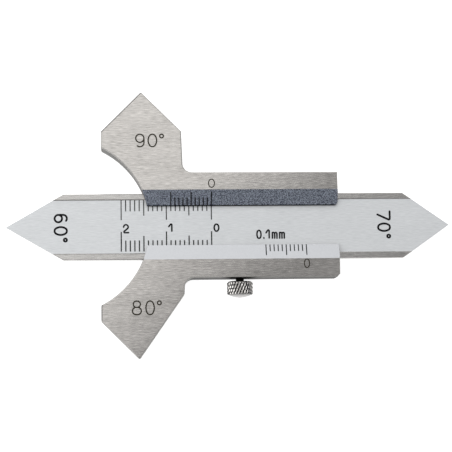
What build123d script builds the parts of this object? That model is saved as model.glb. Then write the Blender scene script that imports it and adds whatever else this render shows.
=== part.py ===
"""Weld gauge with verniers: a beam with a 60 and a 70 degree point slides in a flat slider.

The slider's two jaws end in a 90 and an 80 degree corner. Their left edges form a right-angled V,
which is set over the plates of a fillet weld, and their two flat feet stand on the plate of a butt
weld. The beam's left point then touches the weld, and the verniers on the slider's bevelled lips
read how far it was pushed back. A knurled screw in the lower rail holds the beam, by pressing a
leaf spring against its edge.

The gauge lies on the slider's back. X runs along the beam, Y up the jaws and Z out of the back.
The origin is on the back face, on the beam's centre line, below the slider's zero mark.
All sizes are in millimetres.
"""

import math
import os

from build123d import *

# The V and the two zeros
APEX_TO_ZERO = 45.4       # from the V's apex, where the beam's point stands at zero, to the zero mark
APEX_TO_FEET = 21.0       # from the apex to the two feet, and from one vernier's zero to the other's
V_HALF_ANGLE = 45.0       # between the centre line and each jaw's left edge

# Slider
SLIDER_THICKNESS = 6.0
BACK_WALL = 1.5           # floor of the channel
UPPER_RAIL_EDGE = 11.88   # from the centre line to each rail's outer edge
LOWER_RAIL_EDGE = 11.62
UPPER_RAIL_END = 28.1     # from the zero mark to the upper rail's right end
LOWER_RAIL_END = 28.36
RELIEF_RADIUS = 19.5      # round cut between the jaws
RELIEF_CENTRE = 12.2      # from the apex to the cut's centre
UPPER_REACH = 29.93       # from the centre line to the upper jaw's point
LOWER_REACH = 29.33
UPPER_POINT_ANGLE = 90.0
LOWER_POINT_ANGLE = 80.0
UPPER_JAW_BACK = 38.8     # from the apex to the corner at the jaw's back
LOWER_JAW_BACK = 39.25
JAW_BACK_LEAN = 2.0       # degrees by which the jaws' back edges lean
JAW_ROOT_RADIUS = 2.0
POINT_RADIUS = 0.35
RAIL_CORNER_CUT = 0.7     # corner taken off the lower rail's end
FRONT_ROUNDING = 0.25     # round the slider's front face
EDGE_BREAK = 0.12         # round its back face, and round the beam

# Lips over the beam, with their bevels
LIP_EDGE = 0.3            # thickness left at a lip's thin edge
LIP_BREAK_WIDTH = 0.18    # steep break along the upper lip's thin edge
LIP_BREAK_START = 0.1     # above the lip's underside
UPPER_LIP_REACH = 4.5     # from the centre line to the lip's thin edge
LOWER_LIP_REACH = 4.2
UPPER_BEVEL_TOP = 8.0     # from the centre line to where the bevel meets the front face
LOWER_BEVEL_TOP = 7.45
LIP_CORNER_RADIUS = 0.7   # in plan, at the upper lip's right end

# Beam
BEAM_LENGTH = 98.7        # point to point
BEAM_WIDTH = 14.6
BEAM_THICKNESS = 2.7      # over the lands
LEFT_POINT_ANGLE = 60.0
RIGHT_POINT_ANGLE = 70.0
LAND_WIDTH = 1.2          # raised land along each long edge
LAND_SLOPE = 0.2          # run of its slope down to the scale face
LAND_HEIGHT = 0.18        # above the scale face
BEAM_CLEARANCE = 0.03     # between the beam and each wall of the channel

# Engraved scales
MARK_WIDTH = 0.23
MARK_DEPTH = 0.06
SCALE_STEPS = 20          # millimetres engraved on the beam
SHORT_MARK = 2.45
MIDDLE_MARK = 3.45
LONG_MARK = 4.4
LOWER_ROW_INSET = 0.4     # between the lower row of marks and its land
VERNIER_STEPS = 10
VERNIER_RANGE = 9.0       # millimetres covered by the vernier's steps
UPPER_VERNIER_LONG = 2.93
UPPER_VERNIER_SHORT = 1.82
LOWER_VERNIER_LONG = 2.47
LOWER_VERNIER_SHORT = 1.56

# Clamp screw and leaf spring
SCREW_FROM_ZERO = 6.2     # from the zero mark to the screw's axis
THREAD_DIAMETER = 2.0
THREAD_CLEARANCE = 0.05   # on the radius
NECK_DIAMETER = 1.8
NECK_LENGTH = 0.9
HEAD_DIAMETER = 5.8
HEAD_GAP = 0.63           # between the rail and the head, with the screw home
HEAD_LENGTH = 3.1         # knurled part
HEAD_INNER_ROUNDING = 0.7
HEAD_OUTER_ROUNDING = 0.5
DOME_HEIGHT = 0.55
KNURL_COUNT = 26          # grooves each way
KNURL_ANGLE = 25.0        # from the screw's axis
KNURL_DEPTH = 0.25
KNURL_FLANK = 51.0        # half angle of a groove
SPRING_LENGTH = 24.0
SPRING_HEIGHT = 2.3
SPRING_THICKNESS = 0.3
SPRING_PLAY = 0.35        # behind the spring, with the screw home
SPRING_END_PLAY = 0.1
SCREW_TIP_PLAY = 0.01

# Places worked out from the sizes above
APEX_X = -APEX_TO_ZERO
FEET_X = APEX_X + APEX_TO_FEET
FEET_CORNER_Y = APEX_TO_FEET * math.tan(math.radians(V_HALF_ANGLE))
BEAM_HALF = BEAM_WIDTH / 2
CHANNEL_HALF = BEAM_HALF + BEAM_CLEARANCE
BEAM_BACK_Z = BACK_WALL + BEAM_CLEARANCE
LAND_Z = BEAM_BACK_Z + BEAM_THICKNESS
SCALE_Z = LAND_Z - LAND_HEIGHT
LIP_UNDERSIDE_Z = LAND_Z + BEAM_CLEARANCE
LIP_EDGE_Z = LIP_UNDERSIDE_Z + LIP_EDGE
SCALE_HALF = BEAM_HALF - LAND_WIDTH - LAND_SLOPE
BEAM_RIGHT_X = APEX_X + BEAM_LENGTH
SPRING_Y = CHANNEL_HALF
POCKET_Y = SPRING_Y + SPRING_THICKNESS + SPRING_PLAY
SPRING_Z = (BEAM_BACK_Z + LAND_Z) / 2
SCREW_TIP_Y = SPRING_Y + SPRING_THICKNESS + SCREW_TIP_PLAY
SCREW_Z = SLIDER_THICKNESS / 2
HEAD_Y = LOWER_RAIL_EDGE + HEAD_GAP
THROUGH = 2.0             # how far a cutting tool runs past the metal


def nearest_corner(sketch, x, y):
    """The sketch's corner at or nearest to a place."""
    return sketch.vertices().sort_by_distance((x, y, 0))[0]


def jaw_points(reach, point_angle, back, rail_edge, side):
    """One jaw's corners from its foot to its root on the rail; side is 1 above and -1 below."""
    point_x = reach / math.tan(math.radians(V_HALF_ANGLE))
    slope = math.tan(math.radians(180 - V_HALF_ANGLE - point_angle))
    back_y = reach - (back - point_x) * slope
    root_x = back + (back_y - rail_edge) * math.tan(math.radians(JAW_BACK_LEAN))
    outline = [
        (APEX_TO_FEET, FEET_CORNER_Y),
        (point_x, reach),
        (back, back_y),
        (root_x, rail_edge),
    ]
    return [(APEX_X + x, side * y) for x, y in outline]


def slider_outline():
    """The slider seen from the front, with its rounded roots and points."""
    relief_x = APEX_X + RELIEF_CENTRE
    foot_y = math.sqrt(RELIEF_RADIUS**2 - (FEET_X - relief_x) ** 2)
    upper = jaw_points(UPPER_REACH, UPPER_POINT_ANGLE, UPPER_JAW_BACK, UPPER_RAIL_EDGE, 1)
    lower = jaw_points(LOWER_REACH, LOWER_POINT_ANGLE, LOWER_JAW_BACK, LOWER_RAIL_EDGE, -1)
    corners = [(FEET_X, foot_y), *upper, (UPPER_RAIL_END, UPPER_RAIL_EDGE)]
    corners += [(LOWER_RAIL_END, -LOWER_RAIL_EDGE), *reversed(lower), (FEET_X, -foot_y)]
    relief = ThreePointArc(corners[-1], (relief_x + RELIEF_RADIUS, 0), corners[0])
    outline = make_face(Polyline(*corners) + relief)
    for root in (upper[3], lower[3]):
        outline = fillet(nearest_corner(outline, *root), JAW_ROOT_RADIUS)
    for point in (upper[1], lower[1]):
        outline = fillet(nearest_corner(outline, *point), POINT_RADIUS)
    end = nearest_corner(outline, LOWER_RAIL_END, -LOWER_RAIL_EDGE)
    return chamfer(end, RAIL_CORNER_CUT)


def rims(plate):
    """The edges round a plate's lower face, and those round its upper face."""
    faces = plate.faces().sort_by(Axis.Z)
    return faces[0].edges(), faces[-1].edges()


def channel():
    """The T-shaped channel for the beam, open to the front between the bevelled lips."""
    bevel_slope = (SLIDER_THICKNESS - LIP_EDGE_Z) / (UPPER_BEVEL_TOP - UPPER_LIP_REACH)
    break_top_z = LIP_EDGE_Z + LIP_BREAK_WIDTH * bevel_slope
    section = [
        (-CHANNEL_HALF, BACK_WALL),
        (CHANNEL_HALF, BACK_WALL),
        (CHANNEL_HALF, LIP_UNDERSIDE_Z),
        (UPPER_LIP_REACH, LIP_UNDERSIDE_Z),
        (UPPER_LIP_REACH, LIP_UNDERSIDE_Z + LIP_BREAK_START),
        (UPPER_LIP_REACH + LIP_BREAK_WIDTH, break_top_z),
        (UPPER_BEVEL_TOP, SLIDER_THICKNESS),
        (UPPER_BEVEL_TOP, SLIDER_THICKNESS + THROUGH),
        (-LOWER_BEVEL_TOP, SLIDER_THICKNESS + THROUGH),
        (-LOWER_BEVEL_TOP, SLIDER_THICKNESS),
        (-LOWER_LIP_REACH, LIP_EDGE_Z),
        (-LOWER_LIP_REACH, LIP_UNDERSIDE_Z),
        (-CHANNEL_HALF, LIP_UNDERSIDE_Z),
    ]
    left = APEX_X
    right = max(UPPER_RAIL_END, LOWER_RAIL_END) + THROUGH
    profile = Plane.YZ * make_face(Polyline(*section, close=True))
    return Pos(left, 0, 0) * extrude(profile, right - left)


def lip_corner():
    """What the file takes off the upper lip's right corner."""
    radius = LIP_CORNER_RADIUS
    centre = Pos(UPPER_RAIL_END - radius, UPPER_LIP_REACH + radius)
    side = radius + THROUGH
    corner = centre * Rectangle(side, side, align=(Align.MIN, Align.MAX)) - centre * Circle(radius)
    return Pos(0, 0, LIP_UNDERSIDE_Z) * extrude(corner, SLIDER_THICKNESS - LIP_UNDERSIDE_Z + THROUGH)


def spring_pocket():
    """The pocket for the leaf spring, in the channel's lower wall."""
    length = SPRING_LENGTH + 2 * SPRING_END_PLAY
    depth = POCKET_Y - CHANNEL_HALF + THROUGH
    height = LIP_UNDERSIDE_Z - BACK_WALL
    pocket = Box(length, depth, height, align=(Align.CENTER, Align.MIN, Align.MIN))
    return Pos(SCREW_FROM_ZERO, -POCKET_Y, BACK_WALL) * pocket


def along_screw(radius, start, length):
    """A round tool on the screw's axis, from the distance start outwards."""
    tool = Cylinder(radius, length, align=(Align.CENTER, Align.CENTER, Align.MIN))
    return Pos(SCREW_FROM_ZERO, -start, SCREW_Z) * Rot(90, 0, 0) * tool


def screw_hole():
    radius = THREAD_DIAMETER / 2 + THREAD_CLEARANCE
    return along_screw(radius, CHANNEL_HALF, LOWER_RAIL_EDGE - CHANNEL_HALF + THROUGH)


def bevel_plane(reach, bevel_top, side, x):
    """A plane on one lip's bevel: X along the lip, Y up the bevel from its thin edge."""
    rise = SLIDER_THICKNESS - LIP_EDGE_Z
    run = bevel_top - reach
    return Plane(origin=(x, side * reach, LIP_EDGE_Z), x_dir=(1, 0, 0), z_dir=(0, -side * rise, run))


def vernier_marks(reach, bevel_top, side, zero_x, long_mark, short_mark):
    """One vernier's marks, from its zero to the left; the first, middle and last are long."""
    slant = math.cos(math.atan2(SLIDER_THICKNESS - LIP_EDGE_Z, bevel_top - reach))
    marks = []
    for step in range(VERNIER_STEPS + 1):
        length = long_mark if step % (VERNIER_STEPS // 2) == 0 else short_mark
        start = -THROUGH * MARK_DEPTH
        size = (MARK_WIDTH, length / slant - start, 2 * MARK_DEPTH)
        x = zero_x - step * VERNIER_RANGE / VERNIER_STEPS
        place = Pos(0, side * (size[1] / 2 + start), 0)
        marks.append(bevel_plane(reach, bevel_top, side, x) * place * Box(*size))
    return marks


def make_slider():
    slider = extrude(slider_outline(), SLIDER_THICKNESS)
    slider = chamfer(rims(slider)[0], EDGE_BREAK)
    slider = fillet(rims(slider)[1], FRONT_ROUNDING)
    slider -= channel()
    slider -= lip_corner()
    slider -= spring_pocket()
    slider -= screw_hole()
    slider -= vernier_marks(
        UPPER_LIP_REACH, UPPER_BEVEL_TOP, 1, 0, UPPER_VERNIER_LONG, UPPER_VERNIER_SHORT
    )
    slider -= vernier_marks(
        LOWER_LIP_REACH, LOWER_BEVEL_TOP, -1, APEX_TO_FEET, LOWER_VERNIER_LONG, LOWER_VERNIER_SHORT
    )
    return slider


def beam_outline():
    """The beam seen from the front, a parallel rule with a point at each end."""
    left = APEX_X + BEAM_HALF / math.tan(math.radians(LEFT_POINT_ANGLE / 2))
    right = BEAM_RIGHT_X - BEAM_HALF / math.tan(math.radians(RIGHT_POINT_ANGLE / 2))
    corners = [
        (APEX_X, 0),
        (left, BEAM_HALF),
        (right, BEAM_HALF),
        (BEAM_RIGHT_X, 0),
        (right, -BEAM_HALF),
        (left, -BEAM_HALF),
    ]
    return make_face(Polyline(*corners, close=True))


def scale_mark_length(step):
    """Every tenth mark is long and every fifth of middle length."""
    if step % 10 == 0:
        return LONG_MARK
    return MIDDLE_MARK if step % 5 == 0 else SHORT_MARK


def scale_marks():
    """Two rows of millimetre marks, from the zero to the left, each growing from its land."""
    marks = []
    for step in range(SCALE_STEPS + 1):
        length = scale_mark_length(step)
        mark = Box(MARK_WIDTH, length, 2 * MARK_DEPTH)
        upper_y = SCALE_HALF - length / 2
        lower_y = LOWER_ROW_INSET - SCALE_HALF + length / 2
        marks += [Pos(-step, upper_y, SCALE_Z) * mark, Pos(-step, lower_y, SCALE_Z) * mark]
    return marks


def scale_recess():
    """What is milled off between the lands, with a slope at each."""
    top_half = SCALE_HALF + LAND_SLOPE
    section = [
        (-SCALE_HALF, SCALE_Z),
        (SCALE_HALF, SCALE_Z),
        (top_half, LAND_Z),
        (top_half, LAND_Z + THROUGH),
        (-top_half, LAND_Z + THROUGH),
        (-top_half, LAND_Z),
    ]
    profile = Plane.YZ * make_face(Polyline(*section, close=True))
    return Pos(APEX_X - THROUGH, 0, 0) * extrude(profile, BEAM_LENGTH + 2 * THROUGH)


def make_beam():
    beam = Pos(0, 0, BEAM_BACK_Z) * extrude(beam_outline(), BEAM_THICKNESS)
    lower, upper = rims(beam)
    beam = chamfer(lower + upper, EDGE_BREAK)
    beam -= scale_recess()
    return beam - scale_marks()


def make_leaf_spring():
    """A bronze strip with round ends, held captive in its pocket and pressed flat by the screw."""
    strip = Plane.XZ * SlotOverall(SPRING_LENGTH, SPRING_HEIGHT)
    strip = extrude(strip, SPRING_THICKNESS)
    return Pos(SCREW_FROM_ZERO, -SPRING_Y, SPRING_Z) * strip


def rounded_corner(x, y, radius, side):
    """A quarter circle at the head's rim: side is -1 at its rail end and 1 at its dome end."""
    reach = radius * math.sqrt(0.5)
    centre = (x - radius, y - side * radius)
    inner, outer = (centre[0], y), (x, centre[1])
    return ThreePointArc(inner, (centre[0] + reach, centre[1] + side * reach), outer)


def head_profile():
    """Half of the head's section: X is the radius, Y the distance from the rail's side."""
    radius = HEAD_DIAMETER / 2
    rim = radius - HEAD_OUTER_ROUNDING
    top = HEAD_LENGTH + DOME_HEIGHT
    dome_radius = (rim**2 + DOME_HEIGHT**2) / (2 * DOME_HEIGHT)
    half_angle = math.asin(rim / dome_radius) / 2
    halfway = (dome_radius * math.sin(half_angle), top - dome_radius * (1 - math.cos(half_angle)))
    edge = Polyline((0, top), (0, 0), (radius - HEAD_INNER_ROUNDING, 0))
    edge += rounded_corner(radius, 0, HEAD_INNER_ROUNDING, -1)
    edge += Line((radius, HEAD_INNER_ROUNDING), (radius, HEAD_LENGTH - HEAD_OUTER_ROUNDING))
    edge += rounded_corner(radius, HEAD_LENGTH, HEAD_OUTER_ROUNDING, 1)
    edge += ThreePointArc((rim, HEAD_LENGTH), halfway, (0, top))
    return make_face(edge)


def knurl_cutters():
    """Crossed V grooves, each a slanted prism laid against the head's side."""
    radius = HEAD_DIAMETER / 2
    depth = KNURL_DEPTH + THROUGH * KNURL_DEPTH
    half_width = depth * math.tan(math.radians(KNURL_FLANK))
    groove = make_face(Polyline((0, 0), (depth, half_width), (depth, -half_width), close=True))
    length = HEAD_LENGTH / math.cos(math.radians(KNURL_ANGLE))
    prism = Pos(0, 0, -length / 2) * extrude(groove, length)
    cutters = []
    for slant in (KNURL_ANGLE, -KNURL_ANGLE):
        seat = Pos(radius - KNURL_DEPTH, 0, HEAD_LENGTH / 2) * Rot(slant, 0, 0) * prism
        cutters += [Rot(0, 0, 360 * n / KNURL_COUNT) * seat for n in range(KNURL_COUNT)]
    return cutters


def make_clamp_screw():
    """The knurled head, its neck and the threaded shank, turned in one piece."""
    head = revolve(Plane.XZ * head_profile(), Axis.Z) - knurl_cutters()
    neck_end = HEAD_Y - NECK_LENGTH
    neck = Pos(0, 0, -NECK_LENGTH) * Cylinder(
        NECK_DIAMETER / 2, NECK_LENGTH, align=(Align.CENTER, Align.CENTER, Align.MIN)
    )
    shank_length = neck_end - SCREW_TIP_Y
    shank = Pos(0, 0, -NECK_LENGTH - shank_length) * Cylinder(
        THREAD_DIAMETER / 2, shank_length, align=(Align.CENTER, Align.CENTER, Align.MIN)
    )
    return Pos(SCREW_FROM_ZERO, -HEAD_Y, SCREW_Z) * Rot(90, 0, 0) * (head + neck + shank)


def main():
    os.makedirs("parts", exist_ok=True)
    nodes = {
        "slider_body": make_slider(),
        "beam": make_beam(),
        "leaf_spring": make_leaf_spring(),
        "clamp_screw": make_clamp_screw(),
    }
    for name, shape in nodes.items():
        export_step(shape, f"parts/{name}.step")
        print(name, round(shape.volume, 2), "mm3")


main()
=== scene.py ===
# %% [markdown]
# A vernier weld gauge in ground stainless steel.
# The solids of the gauge are loaded as a fixed frame: the slider, the beam, the clamp screw and its
# leaf spring. Their shapes are right as they stand, with real grooves for every line of the scales.
# What is missing is what a workshop adds after milling: the grain of the grinding, the satin of the
# scale faces, the black lacquer in the grooves and the engraved figures. This file adds those.
# Lengths are written in millimetres, as on a drawing, and MM turns them into Blender's metres.

# %% Load the gauge
import math

import bmesh
import bpy
from mathutils import Matrix, Vector


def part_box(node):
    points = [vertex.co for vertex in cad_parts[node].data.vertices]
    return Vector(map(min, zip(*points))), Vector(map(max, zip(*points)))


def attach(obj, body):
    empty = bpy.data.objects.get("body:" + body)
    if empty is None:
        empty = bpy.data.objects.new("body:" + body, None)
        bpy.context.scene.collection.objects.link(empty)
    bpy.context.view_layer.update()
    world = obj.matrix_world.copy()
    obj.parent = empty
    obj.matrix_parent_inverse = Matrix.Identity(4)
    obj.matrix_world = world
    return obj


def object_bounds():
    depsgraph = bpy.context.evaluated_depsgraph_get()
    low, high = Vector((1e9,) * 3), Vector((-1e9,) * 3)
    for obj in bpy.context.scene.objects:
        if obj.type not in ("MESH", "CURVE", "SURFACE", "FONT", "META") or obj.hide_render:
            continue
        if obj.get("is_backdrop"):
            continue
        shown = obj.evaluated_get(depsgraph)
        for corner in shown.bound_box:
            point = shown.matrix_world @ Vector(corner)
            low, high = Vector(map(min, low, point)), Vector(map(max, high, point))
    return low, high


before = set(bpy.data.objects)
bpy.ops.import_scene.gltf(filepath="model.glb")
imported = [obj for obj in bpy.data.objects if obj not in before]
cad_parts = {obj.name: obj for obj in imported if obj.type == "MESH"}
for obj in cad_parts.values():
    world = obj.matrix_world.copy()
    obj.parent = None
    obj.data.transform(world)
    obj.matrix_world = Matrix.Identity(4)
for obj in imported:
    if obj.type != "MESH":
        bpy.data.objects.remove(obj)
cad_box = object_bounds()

MM = 0.001
X_AXIS, Y_AXIS, Z_AXIS = Vector((1, 0, 0)), Vector((0, 1, 0)), Vector((0, 0, 1))
print("nodes:", ", ".join(sorted(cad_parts)))

# %% [markdown]
# The heights and edges that the finishes and figures are laid on. All of them could be typed in,
# but the frame already knows the outer ones, so those are measured there. Only what lies inside a
# node's box, such as the raised lands along the beam, is a size from the drawing.

# %% Measure the faces
slider_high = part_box("slider_body")[1]
beam_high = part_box("beam")[1]
screw_low, screw_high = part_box("clamp_screw")

FRONT_Z = slider_high.z / MM           # the slider's engraved face
LAND_Z = beam_high.z / MM              # the two raised lands along the beam
LAND_HEIGHT = 0.18
SCALE_Z = LAND_Z - LAND_HEIGHT         # the beam's scale face, between the lands
LAND_WIDTH = 1.2
LAND_SLOPE = 0.2                       # the run of its slope down to the scale face
SCALE_HALF = beam_high.y / MM - LAND_WIDTH - LAND_SLOPE
LIP_EDGE_Z = 4.56                      # the thin edge of the slider's lips, over the beam
LIP_BREAK = 0.18                       # width of the steep break along the upper lip's thin edge
UPPER_LIP = (4.5, 8.0)                 # from the centre line: the thin edge, and the bevel's top
LOWER_LIP = (4.2, 7.45)
LOWER_RAIL_EDGE = -11.62               # the lower rail's outer edge, where the screw goes in
SCREW_X = (screw_low.x + screw_high.x) / MM / 2  # the clamp screw's axis, which runs along Y
SCREW_Z = (screw_low.z + screw_high.z) / MM / 2
print(f"scale face at {SCALE_Z:.2f} mm, lands at {LAND_Z:.2f} mm, slider face at {FRONT_Z:.2f} mm")

# %% [markdown]
# The camera. The picture was taken from straight above the table, a third of a metre up and a
# little below the gauge, so the round cut of the upper jaw shows a strip of its wall. A camera
# could be placed by eye, but this one was worked out from the millimetre marks and the corners,
# whose real places are known. It is aimed at a point on the slider's face and then turned slightly.

# %% Place the camera
CAMERA_PLACE = (-16.013, -34.619, 326.081)
CAMERA_AIM = (3.109, -0.174, 6.0)
CAMERA_TURN = -0.747                   # degrees
IMAGE_SIZE = 452
FOCAL_PIXELS = 1460.55
SENSOR_WIDTH = 36.0
NEAREST_SEEN = 10.0

place = Vector(CAMERA_PLACE) * MM
forward = (Vector(CAMERA_AIM) * MM - place).normalized()
right = forward.cross(Y_AXIS).normalized()
upright = Matrix((right, right.cross(forward), -forward)).transposed()
turned = upright @ Matrix.Rotation(math.radians(CAMERA_TURN), 3, "Z")
camera_data = bpy.data.cameras.new("camera")
camera_data.sensor_width = SENSOR_WIDTH
camera_data.lens = FOCAL_PIXELS * SENSOR_WIDTH / IMAGE_SIZE
camera_data.clip_start = NEAREST_SEEN * MM
camera = bpy.data.objects.new("camera", camera_data)
camera.matrix_world = Matrix.LocRotScale(place, turned, None)
bpy.context.collection.objects.link(camera)
bpy.context.scene.camera = camera
bpy.context.scene.view_settings.view_transform = "Standard"
print(f"camera {place.length:.3f} m away, lens {camera_data.lens:.1f} mm")

# %% [markdown]
# The light. Polished and ground metal has hardly any colour of its own: it shows its surroundings.
# One big soft panel hangs up and to the left. Its near edge runs diagonally, almost over the
# gauge, so faces at the upper left mirror the panel and faces at the lower right mirror the darker
# room. That edge, blurred by the grain of the steel, is what makes the slow fall from light to grey
# along the gauge. Small lamps would give hard glints instead, and a plain sky no modelling at all.

# %% Hang the soft panel
PANEL_HEIGHT = 800.0
PANEL_EDGE = 18.0                      # how far the near edge is from being right overhead
PANEL_TURN = 48.0                      # degrees from standing at the gauge's upper side
PANEL_DEPTH = 2200.0
PANEL_WIDTH = 2800.0
PANEL_RADIANCE = 0.93
PANEL_COLOUR = (1.0, 0.995, 0.985)

panel_data = bpy.data.lights.new("soft_panel", "AREA")
panel_data.shape = "RECTANGLE"
panel_data.size = PANEL_WIDTH * MM
panel_data.size_y = PANEL_DEPTH * MM
panel_data.color = PANEL_COLOUR
panel_area = panel_data.size * panel_data.size_y
panel_data.energy = PANEL_RADIANCE * math.pi * panel_area
panel = bpy.data.objects.new("soft_panel", panel_data)
panel_turn = Matrix.Rotation(math.radians(PANEL_TURN), 3, "Z")
towards_panel = panel_turn @ Y_AXIS
centre = towards_panel * (PANEL_EDGE + PANEL_DEPTH / 2) * MM + Z_AXIS * PANEL_HEIGHT * MM
panel.matrix_world = Matrix.LocRotScale(centre, panel_turn, None)
bpy.context.collection.objects.link(panel)
print(f"panel of {panel_area:.2f} square metres, {panel_data.energy:.1f} W")

# %% [markdown]
# The room round the panel is the world. Overhead it is mid grey. The upper end and the right side
# have pale walls. At the lower end, where the camera's operator stands, hangs a dark, cool curtain.
# The upper lip's bevel leans to that end and mirrors it. In the knurl one flank of each groove
# mirrors a wall and the other the curtain, which is what makes a knurl sparkle. The curtain ends
# above a grey foot: down to the floor it would turn the ground faces black when they are seen from
# the upper end. Walls could be built round the gauge, but they would shade the panel. Each change
# is instead a slow ramp along the direction of the ray, tuned by the face that mirrors it.

# %% Paint the room
ROOM_AXIS = (-0.42, 0.91, 0.0)         # from the dark end to the upper wall
CURTAIN = (0.058, 0.062, 0.078, 1.0)
CURTAIN_FOOT = (0.42, 0.42, 0.425, 1.0)
OVERHEAD = (0.51, 0.51, 0.515, 1.0)
UPPER_WALL = (0.80, 0.79, 0.775, 1.0)
RIGHT_WALL = (0.60, 0.595, 0.59, 1.0)
FOOT_RAMP = (0.48, 0.66)               # up the curtain: where the change starts and ends
CURTAIN_RAMP = (-0.55, 0.0)            # along the room's axis
RIGHT_RAMP = (0.25, 0.70)
UPPER_RAMP = (0.50, 0.85)

world = bpy.data.worlds.new("studio")
bpy.context.scene.world = world
world.use_nodes = True
world_nodes = world.node_tree.nodes
world_links = world.node_tree.links
ray = world_nodes.new("ShaderNodeTexCoord")


def room_ramp(first, second, axis, ends):
    """A slow change from the first colour to the second between two places on the axis."""
    along = world_nodes.new("ShaderNodeVectorMath")
    along.operation = "DOT_PRODUCT"
    along.inputs[1].default_value = axis
    world_links.new(ray.outputs["Generated"], along.inputs[0])
    ramp = world_nodes.new("ShaderNodeMapRange")
    ramp.interpolation_type = "SMOOTHSTEP"
    ramp.inputs["From Min"].default_value, ramp.inputs["From Max"].default_value = ends
    world_links.new(along.outputs["Value"], ramp.inputs["Value"])
    mix = world_nodes.new("ShaderNodeMix")
    mix.data_type = "RGBA"
    world_links.new(ramp.outputs["Result"], mix.inputs["Factor"])
    for socket, colour in (("A", first), ("B", second)):
        if isinstance(colour, bpy.types.NodeSocket):
            world_links.new(colour, mix.inputs[socket])
        else:
            mix.inputs[socket].default_value = colour
    return mix.outputs["Result"]


room = room_ramp(CURTAIN_FOOT, CURTAIN, Z_AXIS, FOOT_RAMP)
room = room_ramp(room, OVERHEAD, ROOM_AXIS, CURTAIN_RAMP)
room = room_ramp(room, RIGHT_WALL, X_AXIS, RIGHT_RAMP)
room = room_ramp(room, UPPER_WALL, ROOM_AXIS, UPPER_RAMP)
world_links.new(room, world_nodes["Background"].inputs["Color"])
print("the room goes from", CURTAIN[:3], "through", OVERHEAD[:3], "to", UPPER_WALL[:3])

# %% [markdown]
# Materials are node trees. Writing every node out by hand hides what matters, so a class does the
# plumbing: it adds a node, and gives each socket either a number or a link. On top of that come
# the few sums and mixes that every finish needs.

# %% Helpers for node trees
class NodeTree:
    """One material's nodes, with its Principled shader."""

    def __init__(self, name):
        self.material = bpy.data.materials.new(name)
        self.material.use_nodes = True
        self.tree = self.material.node_tree
        self.shader = self.tree.nodes["Principled BSDF"]
        self.place = self.add("ShaderNodeTexCoord").outputs["Object"]

    def add(self, kind, links=None, **values):
        """A node with its properties in values, and sockets set or linked by links."""
        node = self.tree.nodes.new(kind)
        for key, value in values.items():
            setattr(node, key, value)
        for socket, value in (links or {}).items():
            self.feed(node.inputs[socket], value)
        return node

    def feed(self, socket, value):
        if isinstance(value, bpy.types.NodeSocket):
            self.tree.links.new(value, socket)
        else:
            socket.default_value = value

    def maths(self, operation, first, second=0.0):
        return self.add("ShaderNodeMath", {0: first, 1: second}, operation=operation).outputs[0]

    def remap(self, value, low, high, to_low=0.0, to_high=1.0):
        sockets = {"Value": value, "From Min": low, "From Max": high, "To Min": to_low, "To Max": to_high}
        return self.add("ShaderNodeMapRange", sockets).outputs["Result"]

    def mix_colours(self, factor, first, second):
        sockets = {"Factor": factor, "A": first, "B": second}
        return self.add("ShaderNodeMix", sockets, data_type="RGBA").outputs["Result"]

    def mix_numbers(self, factor, first, second):
        sockets = {"Factor": factor, "A": first, "B": second}
        return self.add("ShaderNodeMix", sockets, data_type="FLOAT").outputs["Result"]


trial = NodeTree("trial")
print("a new material starts with", len(trial.tree.nodes), "nodes")
bpy.data.materials.remove(trial.material)

# %% [markdown]
# A finish needs to know where it is on the piece, which way the metal faces there, and how the
# grain runs. It is then laid on through masks. A mask is 1 where a finish lies and 0 elsewhere, so
# two masks multiplied leave the spots that are in both, and the larger of two those in either. A
# second material for the chosen faces would do as much, but its border could never be soft, and
# the loose triangles of the solids would have to be sorted first.

# %% Places, masks and grain
LEFTWARD = (-0.12, -0.03)              # the normal's X: left up to the first, not so from the second on
DOWNWARD = (-0.95, -0.85)              # the same for its Y, down the picture


class Finish(NodeTree):
    """A material's nodes, with the places and masks of the piece that it dresses."""

    def coordinates(self):
        """The place's X, Y and Z, in millimetres."""
        scaled = self.add("ShaderNodeVectorMath", {0: self.place, "Scale": 1 / MM}, operation="SCALE")
        return self.add("ShaderNodeSeparateXYZ", {0: scaled.outputs[0]}).outputs

    def facing(self):
        """How level a face is, and whether it faces left or down the picture: each from 0 to 1."""
        normal = self.add("ShaderNodeTexCoord").outputs["Normal"]
        parts = self.add("ShaderNodeSeparateXYZ", {0: normal}).outputs
        leftward = self.fade(parts[0], *LEFTWARD)
        downward = self.fade(parts[1], *DOWNWARD)
        return self.maths("ABSOLUTE", parts[2]), leftward, downward

    def above(self, value, low):
        return self.maths("GREATER_THAN", value, low)

    def below(self, value, high):
        return self.maths("LESS_THAN", value, high)

    def both(self, first, second):
        return self.maths("MULTIPLY", first, second)

    def either(self, first, second):
        return self.maths("MAXIMUM", first, second)

    def band(self, value, low, high):
        """1 where the value is between low and high, else 0."""
        return self.both(self.above(value, low), self.below(value, high))

    def fade(self, value, full, none):
        """1 up to the value called full, and then less and less, to 0 at the value called none."""
        return self.remap(value, full, none, 1.0, 0.0)

    def grain(self, sizes, detail=2.0):
        """Noise whose features are this many millimetres long in X, Y and Z."""
        scale = [1 / (size * MM) for size in sizes]
        mapping = self.add("ShaderNodeMapping", {"Vector": self.place, "Scale": scale})
        sockets = {"Vector": mapping.outputs[0], "Scale": 1.0, "Detail": detail}
        return self.add("ShaderNodeTexNoise", sockets).outputs[0]

    def finish(self, colour, roughness, height=None, strength=1.0, depth=0.0):
        """Links what varies to the shader; depth is the bump's height in millimetres."""
        self.feed(self.shader.inputs["Base Color"], colour)
        self.feed(self.shader.inputs["Roughness"], roughness)
        if height is not None:
            sockets = {"Height": height, "Strength": strength, "Distance": depth * MM}
            normal = self.add("ShaderNodeBump", sockets).outputs["Normal"]
            self.feed(self.shader.inputs["Normal"], normal)
        return self.material


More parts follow.
